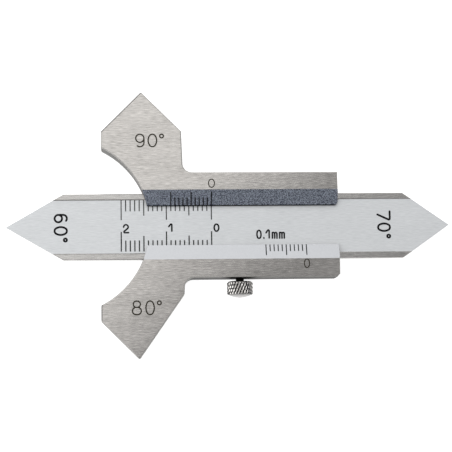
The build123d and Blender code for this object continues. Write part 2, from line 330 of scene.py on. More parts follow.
def dress(node, material):
    """Gives a solid one finish all over."""
    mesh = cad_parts[node].data
    mesh.materials.clear()
    mesh.materials.append(material)
    print(f"{node} is dressed in {material.name}")


print("a finish knows:", ", ".join(name for name in vars(Finish) if not name.startswith("_")))

# %% [markdown]
# Ground steel. Slider and beam lands are finished on a surface grinder, whose wheel leaves fine
# parallel scratches along X. The scratches could be drawn one by one, but nobody can see one: what
# shows is that the steel is streaky, and that its highlights are smeared across the scratches. So
# noise is stretched along X for the streaks, in the colour, the roughness and the bump alike, and
# the shader's own anisotropy does the smearing. The tangent runs round the X axis, which on every
# face of these flat parts points across the scratches.

# %% Ground steel
SCRATCH = (1.5, 0.15, 0.15)            # one scratch: length and widths
STREAK = (6.0, 0.15, 0.15)             # a long scratch, from a coarser grit
CLOUD = (12.0, 3.0, 3.0)               # slow change of tone over the face
STREAK_SHARE = 0.3
CLOUD_SHARE = 0.12
DARK_TO_LIGHT = (0.35, 0.65)           # noise keeps near a half: its usual low and high
WIDE_SPAN = (0.3, 0.7)                 # taken wider, it gives less contrast
ANISOTROPY = 0.6


def ground_grain(steel):
    """Scratches of two lengths, and clouds, in one value near a half."""
    fine = steel.grain(SCRATCH)
    broad = steel.grain(STREAK, detail=1.0)
    cloud = steel.grain(CLOUD, detail=1.0)
    scratches = steel.mix_numbers(STREAK_SHARE, fine, broad)
    return steel.mix_numbers(CLOUD_SHARE, scratches, cloud)


def ground_steel(name):
    """The start of each ground finish: a metal with its highlight across X."""
    steel = Finish(name)
    steel.shader.inputs["Metallic"].default_value = 1.0
    steel.shader.inputs["Anisotropic"].default_value = ANISOTROPY
    tangent = steel.add("ShaderNodeTangent", direction_type="RADIAL", axis="X")
    steel.feed(steel.shader.inputs["Tangent"], tangent.outputs[0])
    return steel


print(f"scratches {SCRATCH[0]} and {STREAK[0]} mm long, {SCRATCH[1]} mm wide")

# %% [markdown]
# The slider's faces are ground after milling. They lie level, so they mirror the panel at the
# upper left and fade to grey where its edge ends. One plain grey would do from afar, but the
# streaks are what tells ground steel from paint.

# %% Grind the slider's faces
SLIDER_DARK = (0.29, 0.28, 0.267, 1.0)
SLIDER_LIGHT = (0.552, 0.533, 0.51, 1.0)
SLIDER_ROUGHNESS = (0.12, 0.17)

steel = ground_steel("slider_ground_steel")
x, y, z = steel.coordinates()[:3]
streaks = ground_grain(steel)
face_colour = steel.mix_colours(steel.remap(streaks, *DARK_TO_LIGHT), SLIDER_DARK, SLIDER_LIGHT)
face_roughness = steel.remap(streaks, *DARK_TO_LIGHT, *SLIDER_ROUGHNESS)
print("ground faces between", SLIDER_DARK[:3], "and", SLIDER_LIGHT[:3])

# %% [markdown]
# The two bevelled lips are satin chromed, so that the vernier lines stand out without glare. Their border
# is sharp, because the plater masks the face. Satin is blasted, so its grain has no direction. The upper
# lip leans to the dark end of the room and the lower one to the light: in the shade each grain of the
# satin shows as a speck, and in the light next to none does. That is painted into their colours: the upper
# lip gets a painted shaded copy of the satin's colours, with hard specks and a painted cool reflection of
# the curtain, and the lower lip a copy with soft specks. One satin could serve both, but it would be too
# smooth on one lip or too coarse on the other.

# %% Plate the lips with satin
# painted shade and painted cool reflection: the upper lip's copy of the satin, with hard specks
UPPER_LIP_DARK = (0.175, 0.196, 0.262, 1.0)
UPPER_LIP_LIGHT = (0.79, 0.86, 0.97, 1.0)
# the lower lip's copy of the same satin, with soft specks
LOWER_LIP_DARK = (0.44, 0.452, 0.473, 1.0)
LOWER_LIP_LIGHT = (0.485, 0.497, 0.518, 1.0)
SATIN_GRAIN = (0.19, 0.19, 0.19)
SPECKLED_SPAN = (0.43, 0.57)           # taken narrow, noise gives hard specks
UPPER_LIP_RELIEF, LOWER_LIP_RELIEF = 5.0, 2.0  # times as deep as the scratches
LIP_ROUGHNESS = 0.30
UNDER_LIPS_Z = 4.2                     # a little lower than the lips' undersides

on_upper = steel.above(y, 0.0)
above_beam = steel.above(z, UNDER_LIPS_Z)
on_lip = steel.both(steel.band(y, -LOWER_LIP[1], UPPER_LIP[1]), above_beam)
specks = steel.grain(SATIN_GRAIN)
upper_colour = steel.mix_colours(steel.remap(specks, *SPECKLED_SPAN), UPPER_LIP_DARK, UPPER_LIP_LIGHT)
lower_colour = steel.mix_colours(steel.remap(specks, *WIDE_SPAN), LOWER_LIP_DARK, LOWER_LIP_LIGHT)
lip_colour = steel.mix_colours(on_upper, lower_colour, upper_colour)
colour = steel.mix_colours(on_lip, face_colour, lip_colour)
roughness = steel.mix_numbers(on_lip, face_roughness, LIP_ROUGHNESS)
relief = steel.mix_numbers(on_upper, LOWER_LIP_RELIEF, UPPER_LIP_RELIEF)
height = steel.mix_numbers(on_lip, streaks, steel.maths("MULTIPLY", specks, relief))
print(f"satin from {LOWER_LIP[1]} mm below the centre line to {UPPER_LIP[1]} mm above it")

# %% [markdown]
# The slider's walls are left as the milling cutter leaves them, dull, and painted shade makes them darker.
# The rounded rims of the front get a painted highlight. Those of the lower foot and of the upper jaw's
# slanted edge, where they face left, get a painted dark shade line instead. Walls and rims are told from
# faces by how level the metal is, because that holds all round the outline, where a mask for each place
# would need a dozen.

# %% Dull the walls and paint their shade, and the rims' highlights and shade lines
# painted shade for the walls, and for the rims a painted highlight and a painted dark shade line
WALL_SHADE_GREY = (0.145, 0.142, 0.136, 1.0)
RIM_HIGHLIGHT = (0.46, 0.45, 0.435, 1.0)
RIM_SHADE = (0.01, 0.0095, 0.009, 1.0)
WALL_LEVEL = (0.55, 0.85)              # how level: up to the first it is wall, from the second on it isn't
RIM_LEVEL = (0.97, 0.996)
RIM_DEPTH = 0.25
LOWER_FOOT = (-20.9, -17.4)            # off the centre line: the ends of the lower foot
SLANT_START = 20.9                     # above it runs the upper jaw's slanted edge

level, leftward, downward = steel.facing()
wall = steel.fade(level, *WALL_LEVEL)
# painted shade: the walls darker than the faces
colour = steel.mix_colours(wall, colour, WALL_SHADE_GREY)
rounded = steel.both(steel.fade(level, *RIM_LEVEL), steel.above(z, FRONT_Z - RIM_DEPTH))
rims = steel.both(rounded, steel.maths("SUBTRACT", 1.0, on_lip))
# places where left-facing rims get the painted dark shade line instead of the painted highlight
dark_rim_places = steel.either(steel.band(y, *LOWER_FOOT), steel.above(y, SLANT_START))
rim_colour = steel.mix_colours(steel.both(leftward, dark_rim_places), RIM_HIGHLIGHT, RIM_SHADE)
colour = steel.mix_colours(rims, colour, rim_colour)
print("walls in", WALL_SHADE_GREY[:3], "and rims in", RIM_HIGHLIGHT[:3])

# %% [markdown]
# Painted shadow: a black line under the upper lip's thin edge, and a black patch on the rail's rim beside
# the screw's neck, where the head shades it. The rail's underside, which faces down the picture, gets
# painted shade. Each could be a random blotch, but each has its place, where the shade falls. Where the
# shadow is painted the metal is also dull.

# %% Paint shadow and shade, and dress the slider
# painted shade for the rail's underside, and black for the painted shadows
UNDERSIDE_SHADE_GREY = (0.06, 0.058, 0.055, 1.0)
SHADE_BLACK = (0.008, 0.008, 0.007, 1.0)
UNDERSIDE_SHADE_RISE = 0.15                       # above the rail's outer edge
SCREW_SHADOW_RISE = (0.1, 0.2)                # above that edge: where the painted shadow is full, and its end
SCREW_SHADOW_REACH = (2.2, 4.6)               # from the screw's axis: the same
DULL_ROUGHNESS = 0.5
SLIDER_BUMP = 0.012                    # depth of the scratches

# painted shade on the rail's underside, where it faces down the picture
underside_shade = steel.both(downward, steel.below(y, LOWER_RAIL_EDGE + UNDERSIDE_SHADE_RISE))
colour = steel.mix_colours(underside_shade, colour, UNDERSIDE_SHADE_GREY)
# painted shadow under the upper lip's thin edge and on the rail's rim beside the screw's neck
thin_edge = steel.band(y, UPPER_LIP[0] - LIP_BREAK, UPPER_LIP[0] + LIP_BREAK)
from_screw = steel.maths("ABSOLUTE", steel.maths("SUBTRACT", x, SCREW_X))
on_rim = steel.fade(y, *(LOWER_RAIL_EDGE + rise for rise in SCREW_SHADOW_RISE))
screw_shadow = steel.both(steel.fade(from_screw, *SCREW_SHADOW_REACH), on_rim)
painted_shadow = steel.either(screw_shadow, steel.both(thin_edge, above_beam))
colour = steel.mix_colours(painted_shadow, colour, SHADE_BLACK)
dull = steel.either(steel.either(wall, painted_shadow), rims)
roughness = steel.mix_numbers(dull, roughness, DULL_ROUGHNESS)
dress("slider_body", steel.finish(colour, roughness, height, depth=SLIDER_BUMP))

# %% [markdown]
# The beam is ground too, and the sunk face between its lands is satin chromed, a shade bluer than
# the bare steel. Its grain still shows faintly along X. A lighter colour alone would do for the
# sunk face, but it would glare like the lands, so a mask over its place makes it rougher and less
# metallic too.

# %% Dress the beam
LAND_DARK = (0.33, 0.322, 0.312, 1.0)
LAND_LIGHT = (0.52, 0.508, 0.492, 1.0)
LAND_ROUGHNESS = (0.20, 0.26)
SCALE_DARK = (0.68, 0.70, 0.715, 1.0)
SCALE_LIGHT = (0.845, 0.865, 0.88, 1.0)
SCALE_ROUGHNESS = 0.6
SCALE_METAL = 0.50                     # the satin scatters part of the light, as frosted glass does
SCALE_RELIEF = 0.35                    # times as deep as the lands' scratches
BEAM_BUMP = 0.02

steel = ground_steel("beam_ground_steel")
y, z = steel.coordinates()[1:3]
on_scale = steel.both(steel.band(y, -SCALE_HALF, SCALE_HALF), steel.above(z, SCALE_Z - LAND_HEIGHT))
streaks = ground_grain(steel)
land_colour = steel.mix_colours(steel.remap(streaks, *DARK_TO_LIGHT), LAND_DARK, LAND_LIGHT)
scale_colour = steel.mix_colours(steel.remap(streaks, *WIDE_SPAN), SCALE_DARK, SCALE_LIGHT)
colour = steel.mix_colours(on_scale, land_colour, scale_colour)
steel.feed(steel.shader.inputs["Metallic"], steel.mix_numbers(on_scale, 1.0, SCALE_METAL))
land_roughness = steel.remap(streaks, *DARK_TO_LIGHT, *LAND_ROUGHNESS)
roughness = steel.mix_numbers(on_scale, land_roughness, SCALE_ROUGHNESS)
height = steel.mix_numbers(on_scale, streaks, steel.maths("MULTIPLY", streaks, SCALE_RELIEF))
dress("beam", steel.finish(colour, roughness, height, depth=BEAM_BUMP))

# %% [markdown]
# The clamp screw's knurl is pressed in by two toothed wheels, one for each hand. The deep parts of the
# first wheel's grooves get painted shade. The second wheel's grooves, which cross them, and the points
# stay bare metal. A picture of a knurl could be wrapped round the head, but the grooves are real, and the
# painted shade has to follow them. How deep a spot lies is its distance from the screw's axis. Which set
# it is in follows from its angle round the axis, less the twist of the grooves.

# %% Find the knurl's grooves
HEAD_RADIUS = (screw_high.z - screw_low.z) / MM / 2
HEAD_LENGTH = 3.1
DOME_HEIGHT = 0.55
INNER_ROUNDING, OUTER_ROUNDING = 0.7, 0.5
KNURL_DEPTH = 0.25
KNURL_COUNT = 26                       # grooves of each hand
KNURL_ANGLE = 25.0
GROOVE_SHADE_DEPTHS = (0.35, 0.05)            # shares of the depth: where the painted shade is full, and where it ends
GROOVE_SPAN = 0.25                     # half the blurred border, on a wave that goes from -1 to 1
dome_y = screw_low.y / MM + DOME_HEIGHT
head_y = dome_y + HEAD_LENGTH

steel = Finish("screw_turned_steel")
steel.shader.inputs["Metallic"].default_value = 1.0
x, y, z = steel.coordinates()[:3]
across, up = steel.maths("SUBTRACT", x, SCREW_X), steel.maths("SUBTRACT", z, SCREW_Z)
squares = [steel.maths("MULTIPLY", part, part) for part in (across, up)]
radius = steel.maths("SQRT", steel.maths("ADD", *squares))
knurled = steel.band(y, dome_y + OUTER_ROUNDING / 2, head_y - INNER_ROUNDING / 2)
sunk = steel.fade(radius, *(HEAD_RADIUS - share * KNURL_DEPTH for share in GROOVE_SHADE_DEPTHS))
twist_rate = math.tan(math.radians(KNURL_ANGLE)) / HEAD_RADIUS
twist = steel.maths("MULTIPLY", steel.maths("SUBTRACT", head_y - HEAD_LENGTH / 2, y), twist_rate)
bearing = steel.maths("SUBTRACT", steel.maths("ARCTAN2", up, across), twist)
wave = steel.maths("COSINE", steel.maths("MULTIPLY", bearing, KNURL_COUNT))
first_wheel = steel.remap(wave, -GROOVE_SPAN, GROOVE_SPAN)
# painted shade: deep in the grooves of one hand
shaded_grooves = steel.both(steel.both(knurled, sunk), first_wheel)
print(f"knurl on a radius of {HEAD_RADIUS:.2f} mm, {KNURL_COUNT} grooves of each hand")

# %% [markdown]
# The rest of the screw is turned steel with fine rings from the tool's feed, so its noise is short along
# the axis and long across it. Rings cut in the mesh would hardly show at this size. The domed end is
# painted a darker grey as shade, darkest towards its rim. The neck is painted black as the shade between
# the head and the rail, and is dull.

# %% Dress the clamp screw
SCREW_LIGHT = (0.75, 0.736, 0.717, 1.0)
# painted shade: near black in the knurl's grooves, and a darker grey on the dome, darker still at its rim
GROOVE_SHADE_BLACK = (0.010, 0.009, 0.008, 1.0)
DOME_SHADE_GREY = (0.36, 0.352, 0.344, 1.0)
DOME_RIM_SHADE = (0.20, 0.196, 0.192, 1.0)
DOME_FLAT = HEAD_RADIUS - OUTER_ROUNDING  # radius of the dome inside its rounding
DOME_BORDER = 0.5
TOOL_RINGS = (0.6, 0.08, 0.6)
SCREW_ROUGHNESS = (0.16, 0.28)
SHADE_ROUGHNESS = 0.5
RING_STRENGTH, RING_BUMP = 0.25, 0.006

neck = steel.above(y, head_y)
# painted shade: the grooves of one hand and the neck
screw_shade = steel.either(shaded_grooves, neck)
on_dome = steel.below(y, dome_y + OUTER_ROUNDING / 2)
to_rim = steel.remap(radius, DOME_FLAT - DOME_BORDER, DOME_FLAT)
# painted shade on the dome, darkest towards its rim
metal = steel.mix_colours(on_dome, SCREW_LIGHT, steel.mix_colours(to_rim, DOME_SHADE_GREY, DOME_RIM_SHADE))
# painted shade: near black in the grooves, black on the neck
colour = steel.mix_colours(screw_shade, metal, steel.mix_colours(neck, GROOVE_SHADE_BLACK, SHADE_BLACK))
rings = steel.grain(TOOL_RINGS)
metal_roughness = steel.remap(rings, *WIDE_SPAN, *SCREW_ROUGHNESS)
roughness = steel.mix_numbers(screw_shade, metal_roughness, SHADE_ROUGHNESS)
dress("clamp_screw", steel.finish(colour, roughness, rings, RING_STRENGTH, RING_BUMP))

# %% [markdown]
# The leaf spring is a strip of rolled phosphor bronze. It is hidden in its pocket, so one plain
# colour would do until the gauge is taken apart. Then its own metal has to show: a warm yellow with
# the fine lines of the rolling mill along the strip.

# %% Dress the leaf spring
BRONZE_DARK = (0.60, 0.42, 0.20, 1.0)
BRONZE_LIGHT = (0.72, 0.53, 0.28, 1.0)
BRONZE_ROUGHNESS = (0.22, 0.34)
MILL_LINES = (8.0, 0.1, 0.1)
MILL_STRENGTH, MILL_BUMP = 0.3, 0.006

bronze = ground_steel("spring_rolled_bronze")
mill_lines = bronze.grain(MILL_LINES)
colour = bronze.mix_colours(bronze.remap(mill_lines, *DARK_TO_LIGHT), BRONZE_DARK, BRONZE_LIGHT)
roughness = bronze.remap(mill_lines, *DARK_TO_LIGHT, *BRONZE_ROUGHNESS)
dress("leaf_spring", bronze.finish(colour, roughness, mill_lines, MILL_STRENGTH, MILL_BUMP))

# %% [markdown]
# Lacquers. The grooves of the scales are filled with black lacquer, wiped off level and stoved.
# The figures on the slider are etched instead, and their black is a little browner and paler. A
# flat black would look like a hole, so both are dull paints with a faint grain.

# %% Mix the lacquers
SCALE_BLACKS = (0.003, 0.003, 0.004, 1.0), (0.008, 0.008, 0.010, 1.0)
ETCHED_BROWNS = (0.022, 0.019, 0.013, 1.0), (0.045, 0.040, 0.028, 1.0)
LACQUER_GLOSS = 0.12                   # matt: 0.5 would be a common gloss paint
LACQUER_GRAIN = (0.1, 0.1, 0.1)
LACQUER_ROUGHNESS = (0.52, 0.68)
LACQUER_STRENGTH, LACQUER_BUMP = 0.2, 0.004


def lacquer(name, dark, light):
    """A dull paint between two shades, in specks of a tenth of a millimetre."""
    paint = Finish(name)
    paint.shader.inputs["Specular IOR Level"].default_value = LACQUER_GLOSS
    pigment = paint.grain(LACQUER_GRAIN)
    colour = paint.mix_colours(paint.remap(pigment, *DARK_TO_LIGHT), dark, light)
    roughness = paint.remap(pigment, *WIDE_SPAN, *LACQUER_ROUGHNESS)
    return paint.finish(colour, roughness, pigment, LACQUER_STRENGTH, LACQUER_BUMP)


scale_black = lacquer("scale_lacquer", *SCALE_BLACKS)
etched_brown = lacquer("etched_figures", *ETCHED_BROWNS)
print("lacquers:", scale_black.name, etched_brown.name)

# %% [markdown]
# Every new piece is modelled in edit mode and then put in its place. Operators act on whatever is
# selected, so the helpers here select by place, and start each piece with nothing else selected.
# Meshes could be built from lists of points instead, but a shape is easier to follow as the moves
# of a hand. A finished piece keeps its place in its mesh and its object at the origin, as the
# solids do.

# %% Helpers for modelling
def nothing_selected():
    if bpy.context.object and bpy.context.object.mode != "OBJECT":
        bpy.ops.object.mode_set(mode="OBJECT")
    bpy.ops.object.select_all(action="DESELECT")


def select_vertices(obj, test):
    """In edit mode, selects the vertices whose place passes the test."""
    mesh = bmesh.from_edit_mesh(obj.data)
    mesh.select_mode = {"VERT"}
    for vertex in mesh.verts:
        vertex.select = test(vertex.co)
    mesh.select_flush_mode()
    bmesh.update_edit_mesh(obj.data)


def only(*objects):
    """Selects these objects alone; the first is the active one."""
    nothing_selected()
    for obj in objects:
        obj.select_set(True)
    bpy.context.view_layer.objects.active = objects[0]


def use_modifier(obj, kind, **values):
    """Adds a modifier, sets it and applies it."""
    only(obj)
    modifier = obj.modifiers.new(kind.lower(), kind)
    for key, value in values.items():
        setattr(modifier, key, value)
    bpy.ops.object.modifier_apply(modifier=modifier.name)


nothing_selected()
print("still selected:", len(bpy.context.selected_objects), "objects")

# %% Helpers for placing
def settle(obj, matrix):
    """Puts a piece in its place, and the place in its mesh."""
    only(obj)
    obj.matrix_world = matrix @ obj.matrix_world
    bpy.ops.object.transform_apply(location=True, rotation=True, scale=True)


def copy_of(obj, matrix):
    """A copy with its own mesh, in its place."""
    twin = obj.copy()
    twin.data = obj.data.copy()
    bpy.context.collection.objects.link(twin)
    settle(twin, matrix)
    return twin


def hand_over(pieces, name, material, body, matrix=Matrix.Identity(4)):
    """Joins pieces drawn in millimetres into one, puts it on the gauge and lets it ride."""
    only(*pieces)
    if len(pieces) > 1:
        bpy.ops.object.join()
    piece = pieces[0]
    settle(piece, Matrix.Scale(MM, 4) @ matrix)
    piece.name = name
    piece.data.name = name
    piece.data.materials.clear()
    piece.data.materials.append(material)
    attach(piece, body)
    print(f"{name}: {len(piece.data.polygons)} faces on {body}")


# %% [markdown]
# The lacquer in one engraved line. The line is a groove in the solid, so the lacquer is a bar that
# nearly fills it. It starts as a cube and gets a dished top, because lacquer shrinks as it dries
# and pulls up against the groove's walls. Where it wasn't wiped off well, it has spread a little
# over the metal, so those bars get a flared top. Painting the lines in a material would be less
# work, but the bars stay sharp from any distance.

# %% Fill an engraved line
LINE_WIDTH = 0.23
LINE_DEPTH = 0.06
LINE_GAP = 0.004                       # between the lacquer and the groove's walls
FILL_HEIGHT = 0.05
FILL_WIDTH = LINE_WIDTH - 2 * LINE_GAP
DISH_BORDER = 0.04
DISH_DEPTH = 0.012
SPREAD_RISE = 0.012                    # a spread top ends this much higher, just above the metal


def lacquer_bar(length, spread=0.0):
    """A bar along Y from zero, above the groove's floor; spread is how far it flares over the metal."""
    nothing_selected()
    bpy.ops.mesh.primitive_cube_add(size=1)
    bar = bpy.context.object
    bar.scale = (FILL_WIDTH, length - 2 * LINE_GAP, FILL_HEIGHT)
    bar.location = (0, length / 2, FILL_HEIGHT / 2 - LINE_DEPTH + LINE_GAP)
    settle(bar, Matrix.Identity(4))
    bpy.ops.object.mode_set(mode="EDIT")
    top = max(vertex.co.z for vertex in bar.data.vertices)
    select_vertices(bar, lambda spot: spot.z > top - LINE_GAP)
    if spread:
        wider = 1 + 2 * spread / FILL_WIDTH
        bpy.ops.mesh.extrude_region_move(TRANSFORM_OT_translate={"value": (0, 0, SPREAD_RISE)})
        bpy.ops.transform.resize(value=(wider, 1, 1), center_override=(0, 0, 0))
    bpy.ops.mesh.inset(thickness=DISH_BORDER)
    bpy.ops.transform.translate(value=(0, 0, -DISH_DEPTH))
    bpy.ops.object.mode_set(mode="OBJECT")
    return bar


trial = lacquer_bar(1.0)
print("one bar has", len(trial.data.polygons), "faces")
bpy.data.objects.remove(trial)

# %% [markdown]
# The beam's scale: 21 lines a millimetre apart, read from the zero to the left, in two rows. One
# hangs from the upper land, and the other stands just above the lower land. Every tenth line is
# long and every fifth of middle length, so that the eye counts them without figures. Each line
# could be modelled where it is, but a row has only three lengths, so three bars are copied.

# %% Fill the beam's scale
SCALE_STEPS = 20
LONG_STEP, MIDDLE_STEP = 10, 5
LONG_LINE, MIDDLE_LINE, SHORT_LINE = 4.4, 3.45, 2.45
LOWER_ROW_INSET = 0.4                  # the lower row stands this far from its land
LOWER_SPREAD = 0.03


def line_length(step):
    if step % LONG_STEP == 0:
        return LONG_LINE
    return MIDDLE_LINE if step % MIDDLE_STEP == 0 else SHORT_LINE


scale_lines = []
for upper, spread in ((True, 0.0), (False, LOWER_SPREAD)):
    bars = {length: lacquer_bar(length, spread) for length in (SHORT_LINE, MIDDLE_LINE, LONG_LINE)}
    for step in range(SCALE_STEPS + 1):
        length = line_length(step)
        foot = SCALE_HALF - length if upper else LOWER_ROW_INSET - SCALE_HALF
        scale_lines.append(copy_of(bars[length], Matrix.Translation((-step, foot, SCALE_Z))))
    for bar in bars.values():
        bpy.data.objects.remove(bar)
hand_over(scale_lines, "beam_scale_lacquer", scale_black, "beam")

# %% [markdown]
# The two verniers: 11 lines each on a bevelled lip, nine tenths of a millimetre apart, so that one
# of them always meets a line of the beam. Laid level, a bar would be buried at one end and stand
# out at the other. So the bars are tilted about X by the bevel's angle, with the thin edge of the
# lip as the hinge.

# %% Fill the verniers
VERNIER_STEPS = 10
LONG_VERNIER_STEP = 5
VERNIER_PITCH = 0.9
UPPER_LONG, UPPER_SHORT = 2.93, 1.82   # seen from above, from the thin edge
LOWER_LONG, LOWER_SHORT = 2.47, 1.56
UPPER_SPREAD = 0.04
LOWER_ZERO = 21.0                      # the lower vernier's zero, from the upper one's


def vernier_lacquer(name, lip, side, zero_x, long_line, short_line, start=0.0, spread=0.0):
    """One vernier's lines; side is 1 above the beam and -1 below it, start is past the thin edge."""
    thin_edge, bevel_top = lip
    slant = math.atan2(FRONT_Z - LIP_EDGE_Z, bevel_top - thin_edge)
    turn = Matrix.Identity(4) if side > 0 else Matrix.Rotation(math.pi, 4, "Z")
    tilt = turn @ Matrix.Rotation(slant, 4, "X")
    past_edge = Matrix.Translation((0, start / math.cos(slant), 0))
    bars = []
    for step in range(VERNIER_STEPS + 1):
        seen = long_line if step % LONG_VERNIER_STEP == 0 else short_line
        bar = lacquer_bar((seen - start) / math.cos(slant), spread)
        at = Matrix.Translation((zero_x - step * VERNIER_PITCH, side * thin_edge, LIP_EDGE_Z))
        settle(bar, at @ tilt @ past_edge)
        bars.append(bar)
    hand_over(bars, name, scale_black, "slider")


vernier_lacquer("upper_vernier_lacquer", UPPER_LIP, 1, 0.0, UPPER_LONG, UPPER_SHORT,
                start=LIP_BREAK, spread=UPPER_SPREAD)
vernier_lacquer("lower_vernier_lacquer", LOWER_LIP, -1, LOWER_ZERO, LOWER_LONG, LOWER_SHORT)

# %% [markdown]
# Figures. On such a gauge they are engraved by a round cutter that follows a stencil, or etched in
# the same shapes, so every stroke has the same width, round ends and bends made of arcs. A typeface
# would look wrong beside the photograph. The same cutter is used here: its edge is a short line,
# swept along straight runs by extrude and round bends by spin, and the ends are rounded by
# narrowing the edge to a point. The swept sheet then gets the thickness of a coat of lacquer.
# Strokes that cross are united.

# %% Round the end of a stroke
END_STEPS = (30, 60, 90)               # degrees round the end


def round_off(place, heading, half):
    """Narrows the selected edge to a point, as a round cutter does where it stops."""
    last = 0.0
    for step in END_STEPS:
        angle = math.radians(step)
        move = heading * half * (math.sin(angle) - math.sin(last))
        place = place + move
        bpy.ops.mesh.extrude_region_move(TRANSFORM_OT_translate={"value": move})
        if step < END_STEPS[-1]:
            narrow = math.cos(angle) / math.cos(last)
            bpy.ops.transform.resize(value=(narrow, narrow, narrow), center_override=place)
        last = angle
    bpy.ops.mesh.merge(type="CENTER")


print("a rounded end takes", len(END_STEPS), "steps")

# %% The engraver's cutter
COAT = 0.03                            # thickness of a figure's lacquer
BEND_STEP = 15.0                       # degrees of a bend that one face covers
TINY = 1e-4


def cutter_edge(width):
    """Starts edit mode with one selected edge, this wide and across the start: a side of a plane."""
    nothing_selected()
    bpy.ops.mesh.primitive_plane_add(size=width)
    obj = bpy.context.object
    bpy.ops.object.mode_set(mode="EDIT")
    bpy.ops.mesh.select_mode(type="VERT")
    select_vertices(obj, lambda spot: spot.x < 0)
    bpy.ops.mesh.delete(type="VERT")
    bpy.ops.mesh.select_all(action="SELECT")
    bpy.ops.transform.translate(value=(-width / 2, 0, 0))
    return obj


def thicken(obj):
    """Gives the swept sheet the thickness of its coat."""
    bpy.ops.mesh.select_all(action="SELECT")
    bpy.ops.mesh.remove_doubles(threshold=TINY)
    bpy.ops.object.mode_set(mode="OBJECT")
    use_modifier(obj, "SOLIDIFY", thickness=COAT, offset=0)
    bpy.ops.object.mode_set(mode="EDIT")
    bpy.ops.mesh.select_all(action="SELECT")
    bpy.ops.mesh.normals_make_consistent(inside=False)
    bpy.ops.object.mode_set(mode="OBJECT")


def stroke(start, heading, moves, width, closed=False):
    """One stroke: each move is a length straight on, or a bend as (radius, degrees to the left)."""
    obj = cutter_edge(width)
    place, ahead = Vector((0, 0, 0)), X_AXIS.copy()
    for move in moves:
        if isinstance(move, tuple):
            radius, degrees = move
            aside = Z_AXIS.cross(ahead) * math.copysign(radius, degrees)
            bend = Matrix.Rotation(math.radians(degrees), 3, "Z")
            # spin counts its angle clockwise
            bpy.ops.mesh.spin(steps=math.ceil(abs(degrees) / BEND_STEP), angle=-math.radians(degrees),
                              center=place + aside, axis=Z_AXIS)
            place = place + aside - bend @ aside
            ahead = bend @ ahead
        else:
            bpy.ops.mesh.extrude_region_move(TRANSFORM_OT_translate={"value": ahead * move})
            place = place + ahead * move
    if not closed:
        round_off(place, ahead, width / 2)
        select_vertices(obj, lambda spot: abs(spot.x) < TINY and abs(spot.y) < width / 2 + TINY)
        round_off(Vector((0, 0, 0)), -X_AXIS, width / 2)
    thicken(obj)
    settle(obj, Matrix.Translation((*start, 0)) @ Matrix.Rotation(math.radians(heading), 4, "Z"))
    return obj


def unite(strokes):
    """Strokes that cross become one body."""
    first = strokes[0]
    for other in strokes[1:]:
        use_modifier(first, "BOOLEAN", operation="UNION", object=other, solver="EXACT")
        bpy.data.objects.remove(other)
    return first


trial = stroke((0, 0), 0, [1.0], 0.3)
print("a straight stroke has", len(trial.data.polygons), "faces")
bpy.data.objects.remove(trial)

# %% [markdown]
# The round stencils. Each figure is drawn in a box, its lower left corner at zero, along the middle
# of the strokes. A zero is four arcs, two for the sides and two tighter ones for the ends. A six is
# a ring with a hook, a nine is a six turned over, and an eight is two ovals on each other. Each
# could be a list of points, but given as arcs the bends stay round at any width.

# %% Round stencils
END_BEND = 0.8                         # a zero's tight bend, over half its width
HOOK_BEND = -128                       # degrees of a six's hook
WAIST = 0.54                           # height of an eight's waist, over its whole height
UPPER_OVAL = 0.8                       # width of an eight's upper oval, over the lower one's


def zero(width, height, nib):
    half_width, half_height = width / 2, height / 2
    end = END_BEND * half_width
    rise = half_height - end
    side = (half_width**2 + rise**2 - end**2) / (2 * (half_width - end))
    lean = math.degrees(math.atan2(rise, side - half_width))
    bends = [(side, lean), (end, 180 - 2 * lean), (side, 2 * lean), (end, 180 - 2 * lean), (side, lean)]
    return stroke((width, half_height), 90, bends, nib, closed=True)


def ring(width, nib):
    radius = width / 2
    return stroke((width, radius), 90, [(radius, 360)], nib, closed=True)


def degree(width, height, nib):
    sign = ring(width, nib)
    settle(sign, Matrix.Translation((0, height - width, 0)))
    return sign


def six(width, height, nib):
    radius = width / 2
    hook = stroke((0, radius), 90, [height - width, (radius, HOOK_BEND)], nib)
    return unite([ring(width, nib), hook])


def nine(width, height, nib):
    figure = six(width, height, nib)
    over = Matrix.Translation((width, height, 0)) @ Matrix.Rotation(math.pi, 4, "Z")
    settle(figure, over)
    return figure


def oval(left, low, width, height, nib):
    """A lying oval: two round ends and two straight sides."""
    radius = height / 2
    start = (left + width - radius, low)
    moves = [(radius, 180), width - height, (radius, 180), width - height]
    return stroke(start, 0, moves, nib, closed=True)


def eight(width, height, nib):
    waist = WAIST * height
    upper_width = UPPER_OVAL * width
    lower = oval(0, 0, width, waist, nib)
    upper = oval((width - upper_width) / 2, waist, upper_width, height - waist, nib)
    return unite([lower, upper])


trial = six(1.8, 2.8, 0.3)
print("a six has", len(trial.data.polygons), "faces")
bpy.data.objects.remove(trial)

# %% [markdown]
# The other stencils. A seven, a one and a two have corners, and a round cutter can't leave a truly
# sharp one, so it turns there in an arc of half its own width. An extrude alone would turn on the
# spot and pinch the stroke. A point is the cutter set down and lifted again, and a small m is a
# stem with two arches.

# %% Stencils with corners and stems
SEVEN_FOOT = 0.25                      # where a seven ends, over its width
ONE_FLAG = 0.3                         # height of a one's flag, over the whole height
X_HEIGHT = 0.72                        # height of a small letter, over that of the figures


def seven(width, height, nib):
    run = width - SEVEN_FOOT * width
    fall = math.degrees(math.atan2(height, run))
    corner = (nib / 2, fall - 180)
    return stroke((0, height), 0, [width, corner, math.hypot(height, run) - nib / 2], nib)


def one(width, height, nib):
    flag = ONE_FLAG * height
    climb = math.degrees(math.atan2(flag, width))
    corner = (nib / 2, -90 - climb)
    return stroke((0, height - flag), climb, [math.hypot(flag, width), corner, height - nib / 2], nib)


